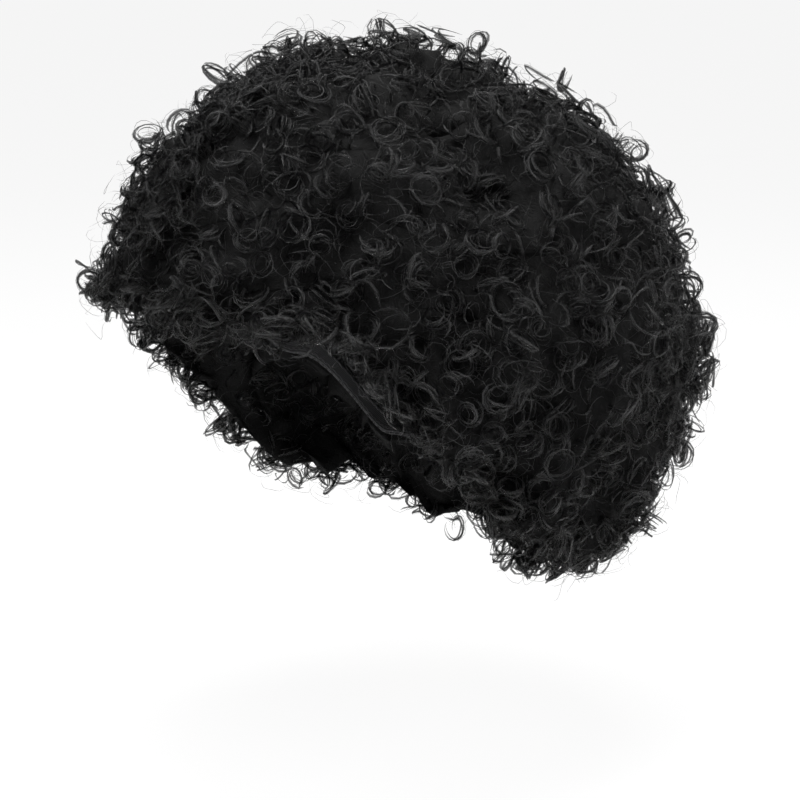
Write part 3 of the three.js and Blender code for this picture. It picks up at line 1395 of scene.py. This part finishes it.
    def build(self) -> list[Tubes]:
        """All shapes of the weft.

        Returns:
            Batches of tubes.
        """
        rng = np.random.default_rng(SEED + WEFT_SEED_STEP * self.number)
        batches = []
        floor = 0.0
        for kind in (RINGLET, LOOP, SPRING, WISP, FRIZZ):
            curls = self.curls(kind, rng)
            for lay in kind.lays:
                region = (0.0, floor, 1.0, floor + lay.map_share)
                batches.append(curls.strands(lay, rng).tubes(lay.stations, lay.make, region))
                floor += lay.map_share
        return [*batches, self.bed((0.0, floor, 1.0, 1.0))]

    def dress(self, finishes: list[bpy.types.Material]) -> bpy.types.Object:
        """Make the object with its finishes, which are in the order of the makes."""
        return piece(f"{self.name}_hair", self.build(), finishes, self.name, self.number == 1)


@dataclass(frozen=True)
class Cap:
    """The stretch-net cap, with the stitches that hold each weft showing inside."""

    wall: float = 0.0015
    rows: int = 36
    columns: int = 72
    stitch_length: float = 0.0032
    stitch_pitch: float = 0.0048
    stitch_half: float = 0.00028
    stitch_slant: float = 0.25
    stitch_bow: float = 0.0004
    stitch_sink: float = 0.0003
    stitch_corners: int = 4
    rim_share: float = 1.002
    form: HairForm = field(default=FORM)

    def dome(self) -> Tubes:
        """Thin dome with a round rim: outer wall from the crown down, then the inner wall back up.

        Returns:
            The tube, a ring whose profile is open at the crown.
        """
        azimuth = np.linspace(0, 360, self.columns, endpoint=False)
        fall = np.linspace(0, 1, self.rows)
        share = np.concatenate((fall, (self.rim_share,), fall[::-1]))
        height = np.concatenate((np.full(self.rows, self.wall), (self.wall / 2,), np.zeros(self.rows)))
        polar = self.form.section("rim", azimuth)[:, None] * share
        round_ = np.broadcast_to(azimuth[:, None], polar.shape)
        place = self.form.head(polar, round_, np.broadcast_to(height, polar.shape))
        carried = {"tone": np.zeros(1)}
        return Tubes(place[None], carried, ring=True, open_profile=True, region=CLOTH_MAP)

    def stitches(self) -> Tubes:
        """Short slanted stitches along every weft's line, half sunk in the inner wall.

        Returns:
            The tubes.
        """
        polar, azimuth = [], []
        for number in range(1, self.form.weft_count + 1):
            start = self.form.start(number)
            line = self.form.line(number)
            length = np.radians(360 - 2 * start) * np.sin(np.radians(line)) * self.form.head_half_length
            count = int(length / self.stitch_pitch)
            azimuth.append(np.linspace(start, 360 - start, count, endpoint=False))
            polar.append(np.full(count, line))
        fall, round_all = np.concatenate(polar), np.concatenate(azimuth)
        skin = np.zeros(len(fall))
        middle = self.form.head(fall, round_all, skin)
        out = self.form.direction(fall, round_all)
        ahead = unit(self.form.head(fall, round_all + self.form.nudge, skin) - middle)
        slant = unit(ahead + self.stitch_slant * np.cross(out, ahead))
        across = np.cross(slant, out)
        share = np.linspace(-0.5, 0.5, self.stitch_corners)
        corner = FULL_TURN * np.arange(self.stitch_corners) / self.stitch_corners
        bow = -self.stitch_bow * (1 - (2 * share) ** 2) + self.stitch_sink
        reach = slant[:, None] * (share * self.stitch_length)[:, None]
        path = middle[:, None] + reach + out[:, None] * bow[:, None]
        round_ = np.cos(corner)[:, None] * out[:, None] + np.sin(corner)[:, None] * across[:, None]
        points = path[:, :, None] - round_[:, None] * self.stitch_half
        tone = np.random.default_rng(SEED).random(len(fall))[:, None, None]
        return Tubes(points[:, :, ::-1], {"tone": tone}, 1, region=THREAD_MAP)

    def build(self) -> list[Tubes]:
        """The dome and its stitches."""
        return [self.dome(), self.stitches()]

    def dress(self) -> bpy.types.Object:
        """Make the object with its finishes."""
        materials = [NetFinish().material(), ThreadFinish().material()]
        return piece("cap_net_shell", self.build(), materials, "cap", True)


@dataclass(frozen=True)
class EdgeBand:
    """The elastic band inside the cap's rim, sewn down with two zigzag rows."""

    wall: float = 0.0012
    gap: float = 0.0003
    width: float = 8.0
    columns: int = 260
    zigzags: int = 150
    zigzag_height: float = 0.9
    thread_half: float = 0.00026
    thread_corners: int = 5
    seam_inset: float = 1.4
    section_corners: int = 20
    squareness: Range = (0.3, 0.7)
    form: HairForm = field(default=FORM)

    def strip(self) -> Tubes:
        """Flat band with round edges, carried round the rim.

        Returns:
            The tube, a ring.
        """
        azimuth = np.linspace(0, 360, self.columns, endpoint=False)
        turn = np.radians(np.linspace(0, 360, self.section_corners, endpoint=False))
        wave = np.stack((np.cos(turn), np.sin(turn)))
        wave[np.abs(wave) < 1e-9] = 0
        out, down = np.sign(wave) * np.abs(wave) ** np.array(self.squareness)[:, None]
        polar = self.form.section("rim", azimuth)[:, None] - self.width / 2 + self.width / 2 * down
        round_ = np.broadcast_to(azimuth[:, None], polar.shape)
        height = np.broadcast_to(-self.gap - self.wall / 2 + self.wall / 2 * out, polar.shape)
        place = self.form.head(polar, round_, height)
        along = travelled(place[:, 0])
        across = np.radians(self.width / 2 * down) * self.form.head_half_length
        carried = {
            "along": np.broadcast_to(along[:, None], polar.shape)[None],
            "across": np.broadcast_to(across, polar.shape)[None],
        }
        return Tubes(place[None], carried, ring=True, region=CLOTH_MAP)

    def zigzag(self) -> Tubes:
        """Two rows of zigzag thread on the inner face, each a round thread carried round the rim.

        Returns:
            The tubes, both rings.
        """
        order = np.arange(2 * self.zigzags)
        azimuth = order * 180 / self.zigzags
        swing = np.where(order % 2, 0.5, -0.5) * self.zigzag_height
        turn = FULL_TURN * np.arange(self.thread_corners) / self.thread_corners
        rows = []
        for inset in (self.seam_inset, self.width - self.seam_inset):
            polar = self.form.section("rim", azimuth) - inset + swing
            middle = self.form.head(polar, azimuth, np.full(len(order), -self.gap - self.wall))
            ahead = unit(np.roll(middle, -1, axis=0) - np.roll(middle, 1, axis=0))
            out = self.form.direction(polar, azimuth)
            out = unit(out - ahead * (out * ahead).sum(axis=-1, keepdims=True))
            down = np.cross(ahead, out)
            ring = np.cos(turn)[:, None] * out[:, None] + np.sin(turn)[:, None] * down[:, None]
            rows.append(middle[:, None] + ring * self.thread_half)
        tone = np.random.default_rng(SEED).random((2, len(order), 1))
        return Tubes(np.stack(rows), {"tone": tone}, 1, ring=True, region=THREAD_MAP)

    def build(self) -> list[Tubes]:
        """The band and its stitching."""
        return [self.strip(), self.zigzag()]

    def dress(self) -> bpy.types.Object:
        """Make the object with its finishes."""
        materials = [ElasticFinish().material(), ThreadFinish().material()]
        return piece("edge_band_elastic", self.build(), materials, "edge_band")


@dataclass(frozen=True)
class Softbox:
    """A square area light that looks at the wig."""

    name: str
    azimuth: float
    elevation: float
    distance: float
    size: float
    power: float


SOFTBOXES = (
    Softbox("key", 24, 52, 1.7, 0.9, 28.0),
    Softbox("side", 124, 28, 1.8, 0.8, 20.0),
    Softbox("top", 74, 84, 1.6, 1.0, 44.0),
    Softbox("back", 234, 35, 1.9, 0.9, 8.0),
)


@dataclass(frozen=True)
class Studio:
    """Camera, pale floor and soft light."""

    azimuth: float = 56.0
    elevation: float = 11.0
    distance: float = 1.4
    pivot: tuple[float, float, float] = (0.0, 0.0, -0.095)
    aim_right: float = 0.0214
    aim_down: float = 0.041
    sensor: float = 36.0
    lens: float = 109.05
    floor_drop: float = 0.36
    floor_half: float = 40.0
    sky: float = 1.0
    ambient: float = 0.13
    centre: tuple[float, float, float] = (0.0, 0.02, -0.1)

    def around(self, azimuth: float, elevation: float, distance: float, centre: Vector) -> Vector:
        """Place at degrees round from the face, degrees up and metres away from a centre."""
        return centre + Vector(FORM.direction(90 - elevation, azimuth)) * distance

    def facing(self, data: bpy.types.ID, name: str, place: Vector, target: Vector) -> bpy.types.Object:
        """Put a light or camera at a place, looking at a target.

        Args:
            data: Light or camera.
            name: Name of the object.
            place: Where it stands.
            target: What it looks at.

        Returns:
            The object.
        """
        made = bpy.data.objects.new(name, data)
        made.location = place
        made.rotation_euler = (target - place).to_track_quat("-Z", "Y").to_euler()
        bpy.context.scene.collection.objects.link(made)
        return made

    def camera(self) -> None:
        """Camera at the angle of the picture."""
        lens = bpy.data.cameras.new("camera")
        lens.sensor_width = self.sensor
        lens.lens = self.lens
        pivot = Vector(self.pivot)
        place = self.around(self.azimuth, self.elevation, self.distance, pivot)
        right = Vector(FORM.direction(90, self.azimuth + 90))
        up = (place - pivot).cross(right).normalized()
        aim = pivot + right * self.aim_right - up * self.aim_down
        bpy.context.scene.camera = self.facing(lens, "camera", place, aim)

    def lights(self) -> None:
        """Softboxes, and a pale surround that is seen brighter than it lights."""
        centre = Vector(self.centre)
        for box in SOFTBOXES:
            light = bpy.data.lights.new(box.name, "AREA")
            light.size = box.size
            light.energy = box.power
            place = self.around(box.azimuth, box.elevation, box.distance, centre)
            self.facing(light, box.name, place, centre)
        world = bpy.data.worlds.new("surround")
        bpy.context.scene.world = world
        graph = Graph(world)
        seen = graph.read("Is Camera Ray", "ShaderNodeLightPath")
        level = self.ambient + seen * (self.sky - self.ambient)
        glow = graph.read(0, "ShaderNodeBackground", None, {"Color": (1, 1, 1, 1), "Strength": level})
        graph.node("ShaderNodeOutputWorld", None, {"Surface": glow})
        bpy.context.scene.view_settings.view_transform = "Standard"

    def floor(self) -> None:
        """Plain pale floor some way under the wig."""
        corner = self.floor_half * np.array(((-1, -1), (1, -1), (1, 1), (-1, 1)), float)
        points = np.column_stack((corner, np.full(4, -self.floor_drop)))
        mesh = bpy.data.meshes.new("floor")
        mesh.from_pydata(points.tolist(), [], [(0, 1, 2, 3)])
        mesh.materials.append(FloorFinish().material())
        made = bpy.data.objects.new("floor", mesh)
        bpy.context.scene.collection.objects.link(made)

    def build(self) -> None:
        """Set up the whole studio."""
        self.camera()
        self.lights()
        self.floor()


def main() -> None:
    """Build the studio, the cap, its band and every weft."""
    logging.basicConfig(level=logging.INFO, format="%(name)s: %(message)s")
    Studio().build()
    Cap().dress()
    EdgeBand().dress()
    finishes = [RibbonFinish().material(), HairFinish().material(), BedFinish().material()]
    for number in range(1, FORM.weft_count + 1):
        Weft(number).dress(finishes)


if __name__ == "__main__":
    main()
